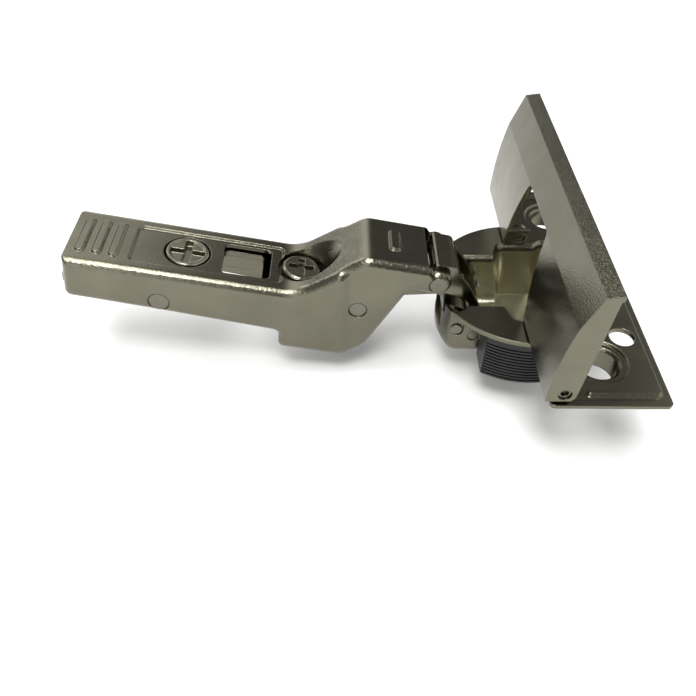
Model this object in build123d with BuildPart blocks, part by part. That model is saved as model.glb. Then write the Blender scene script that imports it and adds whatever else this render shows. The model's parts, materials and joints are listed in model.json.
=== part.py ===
from build123d import *
from math import cos, radians, sin, sqrt, tan
import os

# Concealed cup hinge, about 80 degrees open.  Millimetres.
# Frame: the origin is the axis of the door's cup drilling at the door's face, +X points from the
# arm to the cup, +Z out of the door.  Every pivot is parallel to Y and the hinge is symmetric in Y.
# Arm sizes are given in the arm's own axes: along it from the tip pivot, and above that pivot.

# ---------------------------------------------------------------- cup and flange
DRILLING = 35.0          # cup drilling in the door
DRILLING_PLAY = 0.1      # on the radius
JAW_RELIEF = 0.1         # flange's underside inside the drilling, above the door's face
PLATE = 1.0              # drawn steel of the cup and the flap
POCKET_DEPTH = 11.0
POCKET_DRAFT = 11.0      # of the wide part's walls
POCKET_CORNER_R = 1.5    # inside bends of the narrow part
POCKET_BEVEL = 0.6       # at the pocket's mouth
RIM_R = 18.5             # round lip of the flange on the arm's side
RIM_END = (-15.6, 10.0)  # where the lip stops beside the links
SHOULDER = (-13.0, 9.0)
FLANGE_LEFT = -1.5
FLANGE_RIGHT = 19.85
FLANGE_WIDTH = 66.0
NARROW_HALF = 7.5        # pocket beside the cup pins
NARROW_END = -5.5
MIDDLE_HALF = 11.7
MIDDLE_START = -3.5
MIDDLE_END = 4.0
WIDE_HALF = 13.0
WIDE_START = 5.5
END_WALL_DROP = 1.0      # end wall's edge below the door's face
LINK_NOTCH_HALF = 5.5    # cut-outs of the end wall for the two links
LINK_NOTCH_DEPTH = 3.2
EYE_NOTCH_HALF = 4.2
EYE_NOTCH_DEPTH = 8.2
SCREW_SPACING = 45.0     # collared fixing holes
SCREW_OFFSET = 9.4
SCREW_HOLE_R = 3.7
COLLAR_WALL = 0.7
COLLAR_LENGTH = 4.0
COIN_R = 5.1             # coined ring round each collar
COIN_DEPTH = 0.5
COIN_BEVEL = 0.3
MOUTH_BEVEL = 0.5        # at the mouth of each fixing hole
PILOT_SPACING = 32.7     # plain holes
PILOT_OFFSET = 15.3
PILOT_R = 2.4
BEAD_START = 5.0
BEAD_END = 18.3
BEAD_INSET = 2.5         # from the flange's end to the bead's middle
BEAD_WIDTH = 1.6
BEAD_HEIGHT = 0.6
MARGIN_START = 18.6      # lowered strip round the flange's outer edges
MARGIN_WIDTH = 1.5
MARGIN_DEPTH = 0.25
MARGIN_CORNER_R = 1.8

# ---------------------------------------------------------------- pivots, X and Z in the cup's axes
TIP_PIVOT = (-18.75, 5.6)        # arm to outer link
OUTER_CUP_PIVOT = (-10.5, -6.8)  # outer link to cup
INNER_CUP_PIVOT = (-14.2, -5.2)  # inner link to cup
FLAP_PIVOT = (0.5, 3.1)
ARM_TILT = -10.6                 # arm's axes against the cup's
LINK_PIN_R = 1.2
CUP_RECESS_LIP = 0.25            # round the inner cup pin's ends
FLAP_PIN_R = 1.15
RUNNING = 0.05                   # radial clearance of a turning pin

# ---------------------------------------------------------------- arm, in its own axes
SHEET = 1.2
ARM_HALF = 8.5
NOSE_STEP = 0.85         # by which each side steps in towards the nose
JOG_REAR_X = -37.1       # the side walls step in here, square to the door
JOG_FRONT_X = -35.8
REAR_END = -70.5
REAR_TOP = -6.9
CRANK_REAR = -26.6
CRANK_FRONT = -14.9
NOSE_TOP = 3.25
NOSE_END = -2.2
CRANK_REAR_R = 8.0
CRANK_FRONT_R = 4.0
EDGE_BEND_R = 1.8
EAR_R = 2.66
SKIRT_FRONT = -11.4
SKIRT_FRONT_R = 7.0
SKIRT_REAR = -28.3
SKIRT_CORNER_R = 1.4
SKIRT_BOTTOM = -22.1
REAR_SKIRT_BOTTOM = -17.8
REAR_SKIRT_RISE = 1.2
REAR_SKIRT_LENGTH = 16.0
LINK_GAP_START = -2.8
GRIP_BAR_FIRST = 2.6     # from the rear end
GRIP_BAR_PITCH = 3.05
GRIP_BAR_WIDTH = 1.9
GRIP_BAR_HALF = 5.3
GRIP_BAR_HEIGHT = 0.45
PRESSED_DRAFT = 38.0     # slope of the pressed bars' and the panel's sides
PANEL_REAR = -58.9
PANEL_FRONT = -29.6
PANEL_HALF = 5.6
PANEL_DEPTH = 0.45
WINDOW_REAR = -41.6
WINDOW_FRONT = -32.1
WINDOW_HALF = 4.5
NOSE_BAR_AT = -9.2
NOSE_BAR_WIDTH = 2.4
NOSE_BAR_HALF = 3.35
NOSE_BAR_HEIGHT = 0.5
ARM_PIVOT = (-14.0, -9.1)        # arm to inner link
REAR_PIVOT = (-52.5, -13.9)      # arm to adapter, and the release lever's pivot
TIP_PIN_R = 1.5
ARM_PIN_R = 1.45
REAR_PIN_R = 1.7
RIVET_RECESS = 0.35
RIVET_HEAD_LIP = 0.25
RIVET_HEAD_HEIGHT = 0.22
RECESS_LIP = 0.42

# ---------------------------------------------------------------- adapter and adjusters
ADAPTER_PLAY = 0.1
ADAPTER_TOP = -9.3
ADAPTER_REAR = -60.5
STEP_REAR = -33.6
STEP_FRONT = -31.7
TONGUE_TOP = -11.2
TONGUE_END = -20.5
HOOK_REAR = -28.0
HOOK_BOTTOM = -20.4
SKIRT_STEP_START = -43.0         # adapter's lower edge, stepping down to the rear
SKIRT_STEP_END = -44.6
SKIRT_DROP_START = -35.4         # and down to the hooks
SKIRT_DROP_END = -33.9
PLATE_BAR_R = 1.4        # mounting plate's cross bar, taken by the hooks
PLATE_BAR_AT = (-25.2, -17.4)
ADAPTER_SKIRT = -14.4
ADAPTER_REAR_SKIRT = -16.0
TURNING_GAP = 0.05       # end play of the adjusters
CAM_AT = -48.5
CAM_HEAD_R = 4.2
CAM_HEAD_DROP = 0.2      # head's rim below the arm's top
CAM_RIM = 0.75           # raised rim of the head
CAM_RIM_HEIGHT = 0.25
CAM_CROSS_REACH = 3.35
CAM_CROSS_WIDTH = 1.5
CAM_CROSS_DEPTH = 1.4
CAM_JOURNAL_R = 2.9
CAM_WASHER_R = 3.6
CAM_WASHER_HEIGHT = 0.8
CAM_THROW = 1.1
CAM_STUB_R = 0.9
CAM_STUB_LENGTH = 3.4
OVERLAY_AT = -26.0
OVERLAY_HEAD_R = 3.8
OVERLAY_HEAD_HEIGHT = 1.1
OVERLAY_CROSS_REACH = 2.6
OVERLAY_CROSS_WIDTH = 1.3
OVERLAY_R = 2.75
OVERLAY_NECK_R = 2.0
OVERLAY_LIFT = 1.0       # under its head, room for the arm's tilt
DISH_R = 4.3
DISH_FLOOR = -8.7
DISH_DRAFT = 18.0        # of the dish's wall, which runs out in the crank
TILT_ROOM = 0.35         # round the adjusters in the arm
LEVER_PLAY = 0.4         # between the lever's cheeks and the adapter's walls
LEVER_CHEEK = 1.0
LEVER_CHEEK_LENGTH = 9.0
LEVER_EYE_R = 2.7
LEVER_KNEE = -65.0
LEVER_WEB_TOP = (-62.0, -12.0)   # where the release spring's leg rests

# ---------------------------------------------------------------- links and springs
OUTER_LINK_HALF = 5.2
OUTER_LINK_INSIDE = 4.0
OUTER_LINK_TOP = 3.1     # above the tip pivot, in the arm's axes
INNER_LINK_HALF = 3.8
TIP_EYE_R = 2.6
CUP_EYE_R = 2.25
SLOT_TRAVEL = 1.64       # travel and drift of the arm pin in the inner link's slot
SLOT_DRIFT = 0.36
SLOT_ANGLE = 13.4
SLOT_CENTRE = (-0.08, 0.13)
SLOT_WALL = 1.3
NECK_RISE = 5.0          # of the goose neck above its eye
BUSH_WALL = 0.8
SPRING_WIRE_R = 0.4
COIL_PLAY = 0.1          # between a coil and its pin
WIRE_SIDES = 8           # facets round a coil's wire
LEG_SHARE = 0.88         # radius of a spring's leg against its coil's wire
RELEASE_WIRE_R = 0.3
WIRE_OVERLAP = 0.3       # length of a leg inside its coil's end
RELEASE_COIL_LENGTH = 1.25
RELEASE_COIL_GAP = 0.4   # between the coil and the lever's cheek

# ---------------------------------------------------------------- jaws and flap
JAW_TOP = -0.3
JAW_BOTTOM = -11.3
JAW_LEFT = -9.3
JAW_RIGHT = 8.6
JAW_PLAY = 0.35
RIB_COUNT = 12
RIB_DEPTH = 0.35
RIB_BAND = 1.6           # smooth band above the ribs
EAR_INSET = 0.3          # flap's ears inside the flange's ends
FLAP_BOTTOM = 1.6
FLAP_MIDDLE = (-2.3, 9.8)
FLAP_BEND = (-0.95, 18.4)
FLAP_CREST = (1.45, 24.8)
LIP_END = (4.3, 25.2)
FLAP_FACE_X = -2.6
NOTCH_HALF_LOW = 12.1
NOTCH_HALF_HIGH = 8.0
NOTCH_TOP = 18.5
NOTCH_CORNER_R = 1.2
NOTCH_REACH = 10.0       # of the notch's cutter, to each side of the flap's pivot plane
EAR_REACH = 2.05
EAR_SHEET = 1.1
EAR_BOTTOM = 1.45
INNER_EAR_Y = 11.6
INNER_EAR_TOP = 4.9
LUG_R = 1.9
LUG_PLATE = 1.0
LUG_GAP = 0.1
FLAP_PIN_RECESS = 0.3
FLAP_PIN_BORE_R = 0.7
FLAP_PIN_BORE_DEPTH = 1.0

os.makedirs("parts", exist_ok=True)

nose_half = ARM_HALF - NOSE_STEP
beyond_arm = ARM_HALF    # reach of a cutter past the arm's ends


def arm_point(along, up):
    """World X and Z of a point given in the arm's axes."""
    turn = radians(ARM_TILT)
    return (
        TIP_PIVOT[0] + along * cos(turn) - up * sin(turn),
        TIP_PIVOT[1] + along * sin(turn) + up * cos(turn),
    )


def arm_side(y=0.0):
    """Sketch plane across the hinge in the arm's axes; it extrudes towards -Y."""
    turn = radians(ARM_TILT)
    return Plane(
        origin=(TIP_PIVOT[0], y, TIP_PIVOT[1]),
        x_dir=(cos(turn), 0, sin(turn)),
        z_dir=(0, -1, 0),
    )


def arm_level(up):
    """Sketch plane parallel to the arm's top; it extrudes upwards."""
    turn = radians(ARM_TILT)
    x, z = arm_point(0, up)
    return Plane(origin=(x, 0, z), x_dir=(cos(turn), 0, sin(turn)), z_dir=(-sin(turn), 0, cos(turn)))


def arm_axis(along):
    """Axis square to the arm's top."""
    turn = radians(ARM_TILT)
    x, z = arm_point(along, 0)
    return Axis((x, 0, z), (-sin(turn), 0, cos(turn)))


def cup_side(y=0.0):
    """Sketch plane across the hinge in the cup's axes; it extrudes towards -Y."""
    return Plane(origin=(0, y, 0), x_dir=(1, 0, 0), z_dir=(0, -1, 0))


def cross_pin(at, profile):
    """Turned pin across the hinge, from a half profile of radius and Y pairs."""
    with BuildPart() as pin:
        with BuildSketch(Plane(origin=(at[0], 0, at[1]), x_dir=(1, 0, 0), z_dir=(0, 0, 1))):
            with BuildLine():
                Polyline(*profile, close=True)
            make_face()
        revolve(axis=Axis((at[0], 0, at[1]), (0, 1, 0)))
        mirror(about=Plane.XZ)
    return pin


def rivet(at, shank_r, wall_y):
    """Cross pin with a low riveted head in a recess of the arm's wall, dimpled at the centre."""
    seat = wall_y - RIVET_RECESS
    top = seat + RIVET_HEAD_HEIGHT
    head_r = shank_r + RIVET_HEAD_LIP
    dimple = 0.3 * shank_r
    return cross_pin(arm_point(*at), [
        (0, 0), (shank_r, 0), (shank_r, seat), (head_r, seat), (head_r, top),
        (dimple, top), (0, top - 0.3 * dimple),
    ])


def turned_on_arm(along, profile):
    """Solid turned about an axis square to the arm's top, from pairs of radius and level."""
    with BuildPart() as turned:
        with BuildSketch(arm_side()):
            with BuildLine():
                Polyline(*[(along + radius, up) for radius, up in profile], close=True)
            make_face()
        revolve(axis=arm_axis(along))
    return turned.part


def cross_recess(along, top, reach, width, depth):
    """Cutter of a cross recess, sunk from a level in the arm's axes."""
    with BuildPart() as cutter:
        with BuildSketch(arm_level(top)):
            with Locations((along, 0)):
                Rectangle(2 * reach, width)
                Rectangle(width, 2 * reach)
        extrude(amount=-depth)
    return cutter.part


def top_path(inset):
    """The two bend points of the arm's top, moved below it by an inset."""
    slope = (NOSE_TOP - REAR_TOP) / (CRANK_FRONT - CRANK_REAR)
    shift = inset * (sqrt(1 + slope ** 2) - 1) / slope
    return (CRANK_REAR + shift, REAR_TOP - inset), (CRANK_FRONT + shift, NOSE_TOP - inset)


def side_outline():
    """The arm seen from the side."""
    crank_rear, crank_front = top_path(0)
    skirt_rise = REAR_SKIRT_BOTTOM + REAR_SKIRT_RISE
    with BuildSketch() as outline:
        with BuildLine():
            FilletPolyline(
                (REAR_END, REAR_TOP), crank_rear, crank_front, (NOSE_END, NOSE_TOP),
                (NOSE_END + 0.9, EAR_R - 0.35), (0, 0), (0, -EAR_R), (-5.0, -EAR_R),
                (SKIRT_FRONT, SKIRT_BOTTOM), (SKIRT_REAR, SKIRT_BOTTOM),
                (SKIRT_REAR - 0.5, REAR_SKIRT_BOTTOM), (REAR_END + REAR_SKIRT_LENGTH, skirt_rise),
                (REAR_END, skirt_rise + 0.4),
                radius=[
                    0.3, CRANK_REAR_R, CRANK_FRONT_R, 0.5, 0, 0, 0, 0.8, SKIRT_FRONT_R, 1.0,
                    SKIRT_CORNER_R, 0, SKIRT_CORNER_R,
                ],
                close=True,
            )
        make_face()
        Circle(EAR_R)
    return outline.sketch_local


def plan_outline(inset):
    """The arm seen from above in the cup's axes, with the jog behind the nose."""
    rear_half = ARM_HALF - inset
    front_half = nose_half - inset
    rear_x = arm_point(REAR_END - beyond_arm, 0)[0]
    with BuildSketch() as outline:
        with BuildLine():
            FilletPolyline(
                (rear_x, rear_half), (JOG_REAR_X, rear_half), (JOG_FRONT_X, front_half), (0, front_half),
                (0, -front_half), (JOG_FRONT_X, -front_half), (JOG_REAR_X, -rear_half), (rear_x, -rear_half),
                radius=[0, 2.4, 2.4, 0, 0, 2.4, 2.4, 0],
                close=True,
            )
        make_face()
    return outline.sketch_local


def long_top_edges(part, inset):
    """Edges along the arm's top where it meets the side walls."""
    slope = (NOSE_TOP - REAR_TOP) / (CRANK_FRONT - CRANK_REAR)

    def on_top_bend(edge):
        middle = edge @ 0.5
        local = arm_side().to_local_coords(middle)
        top = min(NOSE_TOP, max(REAR_TOP, REAR_TOP + (local.X - CRANK_REAR) * slope))
        along_arm = abs((edge % 0.5).Y) < 0.9
        return along_arm and abs(middle.Y) > nose_half - inset - 0.3 and abs(local.Y - top) < 1.4 + inset

    return part.edges().filter_by(on_top_bend)


# ================================================================ arm shell
with BuildPart() as arm_cavity:
    with BuildSketch(arm_side()):
        crank_rear, crank_front = top_path(SHEET)
        with BuildLine():
            FilletPolyline(
                (REAR_END - beyond_arm, REAR_TOP - SHEET), crank_rear, crank_front,
                (beyond_arm, NOSE_TOP - SHEET), (beyond_arm, 2 * SKIRT_BOTTOM),
                (REAR_END - beyond_arm, 2 * SKIRT_BOTTOM),
                radius=[0, CRANK_REAR_R + SHEET, CRANK_FRONT_R - SHEET, 0, 0, 0],
                close=True,
            )
        make_face()
    extrude(amount=2 * ARM_HALF, both=True)
    with BuildSketch(Plane.XY):
        add(plan_outline(SHEET))
    extrude(amount=80, both=True, mode=Mode.INTERSECT)
    fillet(long_top_edges(arm_cavity, SHEET), radius=EDGE_BEND_R - SHEET)
    # the overlay screw's dished seat keeps its floor and wall
    with BuildSketch(arm_level(DISH_FLOOR - SHEET)):
        with Locations((OVERLAY_AT, 0)):
            Circle(DISH_R + SHEET)
    extrude(amount=2 * ARM_HALF, taper=-DISH_DRAFT, mode=Mode.SUBTRACT)

with BuildPart() as arm_shell:
    with BuildSketch(arm_side()):
        add(side_outline())
    extrude(amount=2 * ARM_HALF, both=True)
    with BuildSketch(Plane.XY):
        add(plan_outline(0))
    extrude(amount=80, both=True, mode=Mode.INTERSECT)
    fillet(long_top_edges(arm_shell, 0), radius=EDGE_BEND_R)
    add(arm_cavity.part, mode=Mode.SUBTRACT)
    # open front between the two ears, for the links
    with BuildSketch(arm_level(-2 * EAR_R)):
        with Locations((LINK_GAP_START + EAR_R, 0)):
            Rectangle(2 * EAR_R, 2 * (nose_half - SHEET))
    extrude(amount=4 * EAR_R, mode=Mode.SUBTRACT)
    # raised grip bars at the rear
    with BuildSketch(arm_level(REAR_TOP)):
        for bar in range(3):
            with Locations((REAR_END + GRIP_BAR_FIRST + bar * GRIP_BAR_PITCH, 0)):
                RectangleRounded(GRIP_BAR_WIDTH, 2 * GRIP_BAR_HALF, 0.45 * GRIP_BAR_WIDTH)
    extrude(amount=GRIP_BAR_HEIGHT, taper=PRESSED_DRAFT)
    # recessed panel with the depth cam's hole and the window
    with BuildSketch(arm_level(REAR_TOP)):
        with Locations(((PANEL_REAR + PANEL_FRONT) / 2, 0)):
            RectangleRounded(PANEL_FRONT - PANEL_REAR, 2 * PANEL_HALF, 1.2)
    extrude(amount=-PANEL_DEPTH, taper=PRESSED_DRAFT, mode=Mode.SUBTRACT)
    with BuildSketch(arm_level(REAR_TOP)):
        with Locations((CAM_AT, 0)):
            Circle(CAM_HEAD_R + TILT_ROOM)
        with Locations(((WINDOW_REAR + WINDOW_FRONT) / 2, 0)):
            RectangleRounded(WINDOW_FRONT - WINDOW_REAR, 2 * WINDOW_HALF, 1.0)
    extrude(amount=-SHEET, mode=Mode.SUBTRACT)
    # dished seat and hole of the overlay screw
    with BuildSketch(arm_level(DISH_FLOOR)):
        with Locations((OVERLAY_AT, 0)):
            Circle(DISH_R)
    extrude(amount=NOSE_TOP - DISH_FLOOR, taper=-DISH_DRAFT, mode=Mode.SUBTRACT)
    with BuildSketch(arm_level(DISH_FLOOR)):
        with Locations((OVERLAY_AT, 0)):
            Circle(OVERLAY_R + TILT_ROOM)
    extrude(amount=-2 * SHEET, mode=Mode.SUBTRACT)
    # pressed bar across the nose
    with BuildSketch(arm_level(NOSE_TOP)):
        with Locations((NOSE_BAR_AT, 0)):
            RectangleRounded(NOSE_BAR_WIDTH, 2 * NOSE_BAR_HALF, 0.45 * NOSE_BAR_WIDTH)
    extrude(amount=NOSE_BAR_HEIGHT, taper=PRESSED_DRAFT)
    # rivet holes, each recessed outside
    for at, shank_r, wall_y in (
        ((0, 0), TIP_PIN_R, nose_half),
        (ARM_PIVOT, ARM_PIN_R, nose_half),
        (REAR_PIVOT, REAR_PIN_R, ARM_HALF),
    ):
        with BuildSketch(arm_side()):
            with Locations(at):
                Circle(shank_r)
        extrude(amount=2 * ARM_HALF, both=True, mode=Mode.SUBTRACT)
        for side in (-1, 1):
            with BuildSketch(arm_side(side * (wall_y - RIVET_RECESS))):
                with Locations(at):
                    Circle(shank_r + RECESS_LIP)
            extrude(amount=-side * SHEET, mode=Mode.SUBTRACT)

arm_shell.part.label = "arm_shell"
export_step(arm_shell.part, "parts/arm_shell.step")

# ================================================================ arm rivets and spacer bushes
tip_pin = rivet((0, 0), TIP_PIN_R, nose_half)
tip_pin.part.label = "tip_pin"
export_step(tip_pin.part, "parts/tip_pin.step")

arm_pin = rivet(ARM_PIVOT, ARM_PIN_R, nose_half)
arm_pin.part.label = "arm_pin"
export_step(arm_pin.part, "parts/arm_pin.step")

rear_pin = rivet(REAR_PIVOT, REAR_PIN_R, ARM_HALF)
rear_pin.part.label = "rear_pin"
export_step(rear_pin.part, "parts/rear_pin.step")

with BuildPart() as spacer_bushes:
    bush_end = nose_half - SHEET
    for at, bore_r, bush_start in (
        ((0, 0), TIP_PIN_R, OUTER_LINK_HALF + 2 * RUNNING),
        (ARM_PIVOT, ARM_PIN_R, INNER_LINK_HALF + 2 * RUNNING),
    ):
        for side in (-1, 1):
            with BuildSketch(arm_side(side * bush_start)):
                with Locations(at):
                    Circle(bore_r + BUSH_WALL)
                    Circle(bore_r, mode=Mode.SUBTRACT)
            extrude(amount=-side * (bush_end - bush_start))

spacer_bushes.part.label = "spacer_bushes"
export_step(spacer_bushes.part, "parts/spacer_bushes.step")


# ================================================================ adapter inside the arm's rear
def adapter_path(inset):
    """Side outline of the adapter's top, moved below it by an inset and open beneath."""
    shift = -inset * tan(radians(22.5))
    return (STEP_REAR + shift, ADAPTER_TOP - inset), (STEP_FRONT + shift, TONGUE_TOP - inset)


def on_adapter_bend(edge):
    """Whether an edge runs along the adapter where its top meets a side wall."""
    local = arm_side().to_local_coords(edge @ 0.5)
    along_adapter = abs((edge % 0.5).Y) < 0.1
    return along_adapter and local.Y > TONGUE_TOP - 0.2 and abs((edge @ 0.5).Y) > adapter_half - 0.1


adapter_half = ARM_HALF - SHEET - ADAPTER_PLAY
hook_top = PLATE_BAR_AT[1] + PLATE_BAR_R

with BuildPart() as adapter:
    with BuildSketch(arm_side()):
        step_rear, step_front = adapter_path(0)
        with BuildLine():
            FilletPolyline(
                (ADAPTER_REAR, ADAPTER_TOP), step_rear, step_front, (TONGUE_END, TONGUE_TOP),
                (TONGUE_END, HOOK_BOTTOM), (HOOK_REAR, HOOK_BOTTOM), (HOOK_REAR, hook_top),
                (SKIRT_DROP_END, hook_top), (SKIRT_DROP_START, ADAPTER_SKIRT),
                (SKIRT_STEP_START, ADAPTER_SKIRT), (SKIRT_STEP_END, ADAPTER_REAR_SKIRT),
                (ADAPTER_REAR, ADAPTER_REAR_SKIRT),
                radius=[0, 0, 0, 1.5, 1.5, 0.8, 0, 0.5, 0.5, 0, 0, 1.5],
                close=True,
            )
        make_face()
    extrude(amount=adapter_half, both=True)
    fillet(adapter.edges().filter_by(on_adapter_bend), radius=1.0)
    with BuildSketch(arm_side()):
        step_rear, step_front = adapter_path(SHEET)
        with BuildLine():
            Polyline(
                (ADAPTER_REAR - 5, ADAPTER_TOP - SHEET), step_rear, step_front,
                (TONGUE_END + 5, TONGUE_TOP - SHEET),
                (TONGUE_END + 5, 2 * HOOK_BOTTOM), (ADAPTER_REAR - 5, 2 * HOOK_BOTTOM),
                close=True,
            )
        make_face()
    extrude(amount=adapter_half - SHEET, both=True, mode=Mode.SUBTRACT)
    # window, cam journal's bore and the keyhole of the overlay screw
    with BuildSketch(arm_level(ADAPTER_TOP)):
        with Locations(((WINDOW_REAR + STEP_REAR) / 2, 0)):
            RectangleRounded(STEP_REAR - WINDOW_REAR + RUNNING, 2 * (WINDOW_HALF + TILT_ROOM), 1.0)
        with Locations((CAM_AT, 0)):
            Circle(CAM_JOURNAL_R + RUNNING)
    extrude(amount=-2 * SHEET, mode=Mode.SUBTRACT)
    with BuildSketch(arm_level(TONGUE_TOP)):
        with Locations((OVERLAY_AT, 0)):
            Circle(OVERLAY_NECK_R + RUNNING)
        with Locations(((OVERLAY_AT + TONGUE_END) / 2 + 1, 0)):
            Rectangle(TONGUE_END - OVERLAY_AT + 2, 2 * OVERLAY_NECK_R - 0.4)
    extrude(amount=-2 * SHEET, mode=Mode.SUBTRACT)
    # hooks open to the rear for the plate's bar, and the rear pin's bore
    with BuildSketch(arm_side()):
        with Locations((PLATE_BAR_AT[0] - 3, PLATE_BAR_AT[1])):
            SlotOverall(6 + 2 * PLATE_BAR_R, 2 * PLATE_BAR_R)
        with Locations(REAR_PIVOT):
            Circle(REAR_PIN_R + RUNNING)
    extrude(amount=2 * ARM_HALF, both=True, mode=Mode.SUBTRACT)

adapter.part.label = "adapter"
export_step(adapter.part, "parts/adapter.step")

# ================================================================ depth cam and its washer
cam_head_seat = ADAPTER_TOP + TURNING_GAP
cam_head_top = REAR_TOP - CAM_HEAD_DROP
cam_face = cam_head_top - CAM_RIM_HEIGHT
cam_washer_top = ADAPTER_TOP - SHEET - TURNING_GAP
cam_washer_end = cam_washer_top - CAM_WASHER_HEIGHT

with BuildPart() as depth_cam:
    add(turned_on_arm(CAM_AT, [
        (0, cam_face), (CAM_HEAD_R - CAM_RIM - 0.2, cam_face), (CAM_HEAD_R - CAM_RIM, cam_head_top),
        (CAM_HEAD_R - 0.25, cam_head_top), (CAM_HEAD_R, cam_head_top - 0.25), (CAM_HEAD_R, cam_head_seat),
        (CAM_JOURNAL_R, cam_head_seat), (CAM_JOURNAL_R, cam_washer_end), (0, cam_washer_end),
    ]))
    with BuildSketch(arm_level(cam_washer_end)):
        with Locations((CAM_AT, CAM_THROW)):
            Circle(CAM_STUB_R)
    extrude(amount=-CAM_STUB_LENGTH)
    add(
        cross_recess(CAM_AT, cam_head_top, CAM_CROSS_REACH, CAM_CROSS_WIDTH, CAM_CROSS_DEPTH),
        mode=Mode.SUBTRACT,
    )

depth_cam.part.label = "depth_cam"
export_step(depth_cam.part, "parts/depth_cam.step")

with BuildPart() as cam_washer:
    with BuildSketch(arm_level(cam_washer_top)):
        with Locations((CAM_AT, 0)):
            Circle(CAM_WASHER_R)
            Circle(CAM_JOURNAL_R, mode=Mode.SUBTRACT)
    extrude(amount=-CAM_WASHER_HEIGHT)

cam_washer.part.label = "cam_washer"
export_step(cam_washer.part, "parts/cam_washer.step")

# ================================================================ overlay (side) screw
overlay_seat = DISH_FLOOR + OVERLAY_LIFT
overlay_top = overlay_seat + OVERLAY_HEAD_HEIGHT
overlay_end = TONGUE_TOP - SHEET - TURNING_GAP

with BuildPart() as overlay_screw:
    add(turned_on_arm(OVERLAY_AT, [
        (0, overlay_top), (OVERLAY_HEAD_R - 0.4, overlay_top), (OVERLAY_HEAD_R, overlay_top - 0.4),
        (OVERLAY_HEAD_R, overlay_seat), (OVERLAY_R, overlay_seat), (OVERLAY_R, TONGUE_TOP + TURNING_GAP),
        (OVERLAY_NECK_R, TONGUE_TOP + TURNING_GAP), (OVERLAY_NECK_R, overlay_end), (OVERLAY_R, overlay_end),
        (OVERLAY_R, overlay_end - 0.6), (OVERLAY_R - 0.6, overlay_end - 1.2), (0, overlay_end - 1.2),
    ]))
    add(
        cross_recess(OVERLAY_AT, overlay_top, OVERLAY_CROSS_REACH, OVERLAY_CROSS_WIDTH, OVERLAY_HEAD_HEIGHT),
        mode=Mode.SUBTRACT,
    )

overlay_screw.part.label = "overlay_screw"
export_step(overlay_screw.part, "parts/overlay_screw.step")

# ================================================================ release lever and its spring
lever_x, lever_z = REAR_PIVOT
lever_half = adapter_half - SHEET - LEVER_PLAY

with BuildPart() as release_lever:
    # thumb plate behind the adapter, running forward under its top
    with BuildSketch(arm_side()):
        with BuildLine():
            FilletPolyline(
                (lever_x - 3.2, lever_z + 0.9), (LEVER_KNEE, lever_z + 2.3),
                (REAR_END - 0.7, lever_z + 2.3), (REAR_END - 0.7, lever_z - 0.7),
                (REAR_END + 0.5, lever_z - 0.7), (REAR_END + 0.5, lever_z + 1.1),
                (LEVER_KNEE, lever_z + 1.1), (lever_x - 3.2, lever_z - 0.3),
                radius=[0, 1.5, 1.1, 0.5, 0.5, 0.3, 1.5, 0],
                close=True,
            )
        make_face()
    extrude(amount=lever_half, both=True)
    # cheeks with the eyes, and claws that catch the mounting plate
    for side in (-1, 1):
        with BuildSketch(arm_side(side * lever_half)):
            with BuildLine():
                FilletPolyline(
                    (lever_x + 1.5, lever_z + 1.5), (lever_x - LEVER_CHEEK_LENGTH, lever_z + 1.2),
                    (lever_x - LEVER_CHEEK_LENGTH, lever_z - 0.6), (lever_x - 3.5, lever_z - 1.8),
                    (lever_x - 1.8, lever_z - 4.6), (lever_x + 2.4, lever_z - 4.0),
                    radius=[0.8, 0.5, 0.5, 0.8, 0.5, 0.8],
                    close=True,
                )
            make_face()
            with Locations(REAR_PIVOT):
                Circle(LEVER_EYE_R)
        extrude(amount=side * LEVER_CHEEK)
    with BuildSketch(arm_side()):
        with Locations(REAR_PIVOT):
            Circle(REAR_PIN_R + RUNNING)
    extrude(amount=2 * ARM_HALF, both=True, mode=Mode.SUBTRACT)

release_lever.part.label = "release_lever"
export_step(release_lever.part, "parts/release_lever.step")


def torsion_coil(at, y_start, y_end, coil_r, wire_r, turns):
    """Wire wound about a cross axis; a coil towards +Y starts above it, one towards -Y below."""
    way = 1 if y_end > y_start else -1
    reach = abs(y_end - y_start)
    with BuildPart() as coil:
        with BuildLine() as route:
            Helix(
                pitch=reach / turns, height=reach, radius=coil_r,
                center=(at[0], y_start, at[1]), direction=(0, way, 0),
            )
        with BuildSketch(Plane(origin=route.line @ 0, z_dir=route.line % 0)):
            RegularPolygon(wire_r, WIRE_SIDES)
        sweep(path=route.line, is_frenet=True)
    return coil.part


def wire_leg(points, wire_r):
    """Leg of round wire from a point inside a coil's end, ball-shaped at its corners and tip."""
    leg_r = LEG_SHARE * wire_r
    with BuildPart() as leg:
        for start, end in zip(points, points[1:]):
            run = Vector(*end) - Vector(*start)
            with BuildSketch(Plane(origin=start, z_dir=run)):
                Circle(leg_r)
            extrude(amount=run.length)
            with Locations(end):
                Sphere(leg_r)
    return leg.part


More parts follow.
